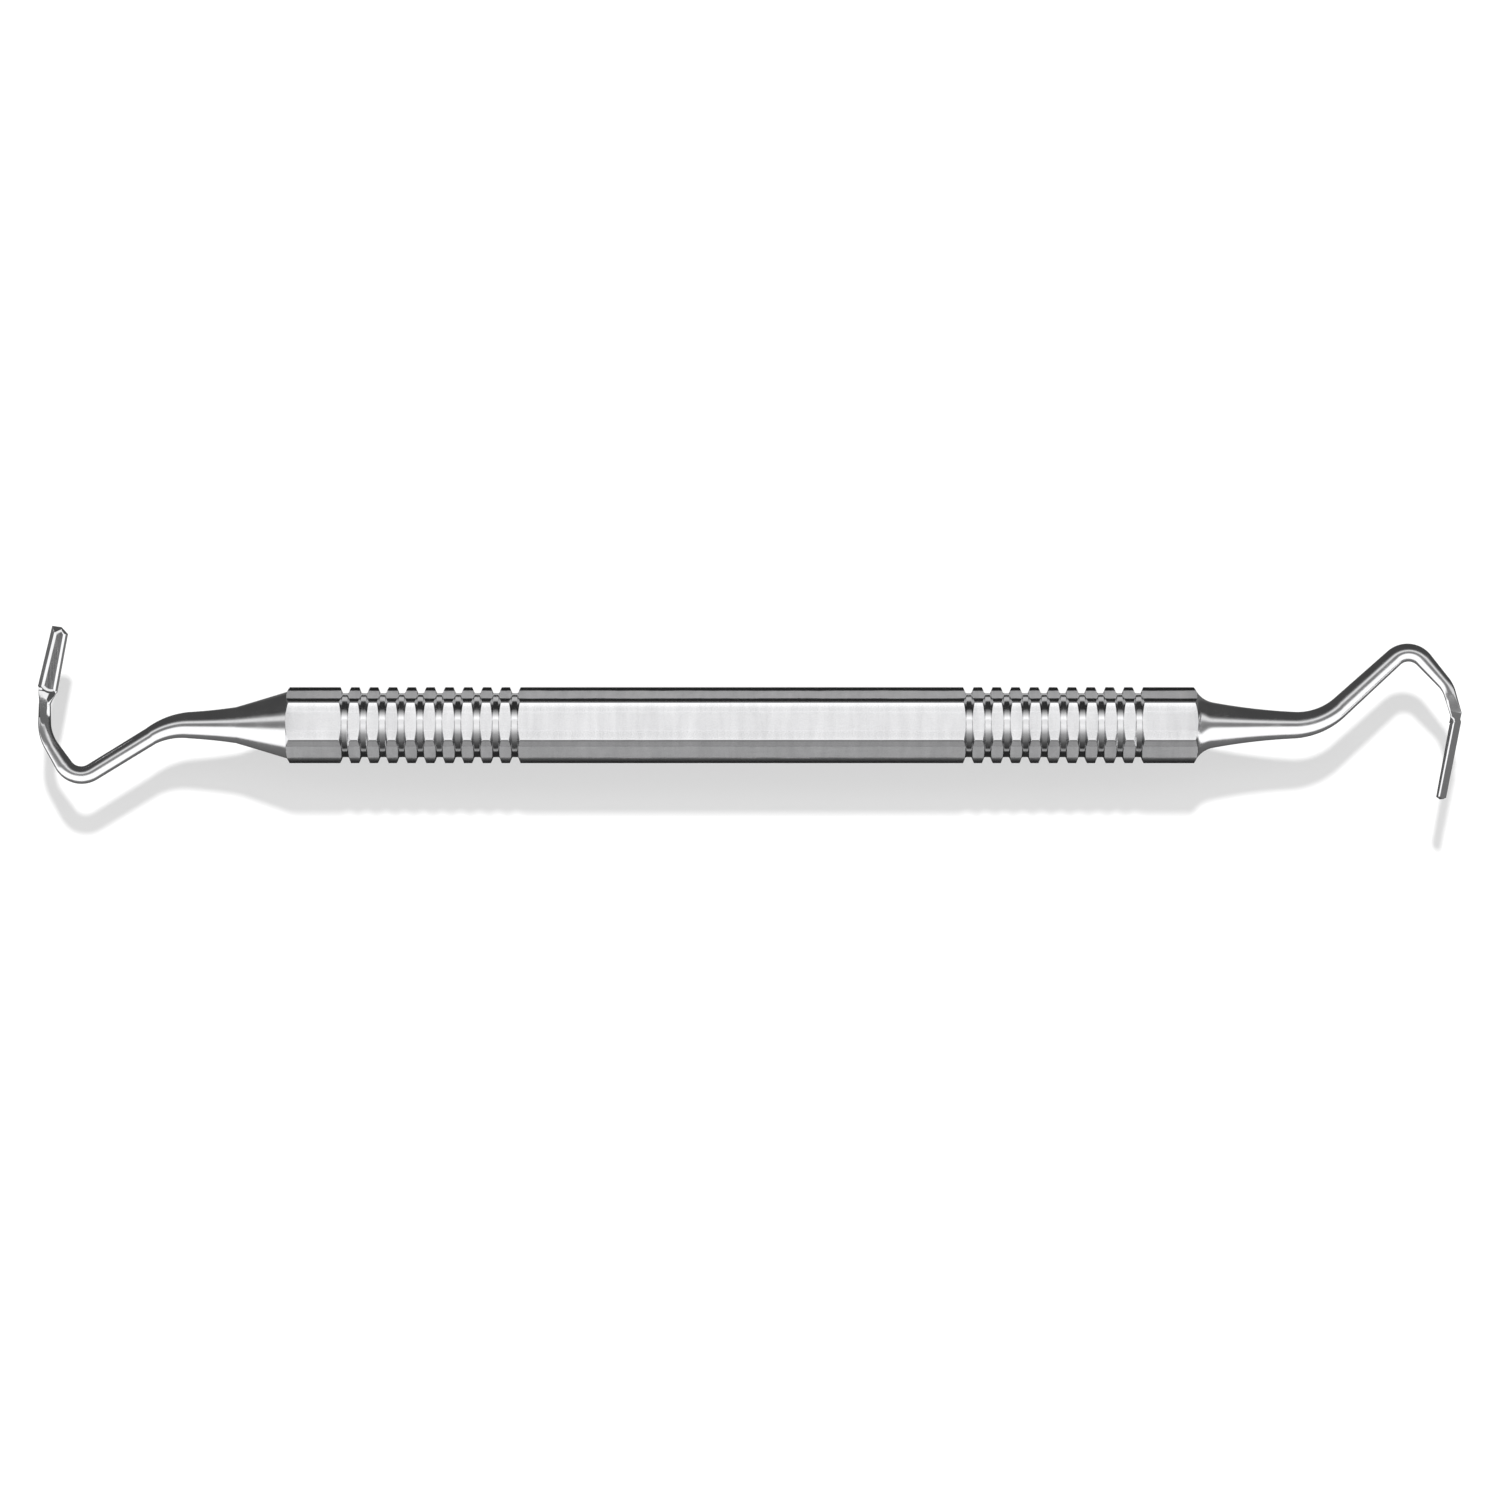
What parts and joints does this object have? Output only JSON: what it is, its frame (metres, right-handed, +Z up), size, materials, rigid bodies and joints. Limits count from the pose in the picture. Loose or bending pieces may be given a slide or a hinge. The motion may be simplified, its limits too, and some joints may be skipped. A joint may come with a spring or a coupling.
{
  "type": "hand scaler",
  "caption": "Double-ended steel hand scaler: hexagonal tube handle with ring-grooved grips, a tapered ferrule at each end, and hooked shanks ending in bevelled flat blades.",
  "frame": {"origin": "under the middle of the handle, on the plane that the handle's lowest flat rests on", "axes": "+X along the handle towards the end whose blade is seen edge-on from above, +Y towards that end's raised bend, +Z up out of the rest plane"},
  "size_m": [0.171, 0.021, 0.008],
  "materials": {
    "satin_handle": "satin flats, polished grooves",
    "polished_ferrule": "fine polished turning",
    "polished_blade_steel": "polished, with ground blade faces"
  },
  "bodies": {
    "root": {"handle_tube": "satin_handle", "left_ferrule": "polished_ferrule", "right_ferrule": "polished_ferrule", "left_working_end": "polished_blade_steel", "right_working_end": "polished_blade_steel"}
  },
  "joints": []
}
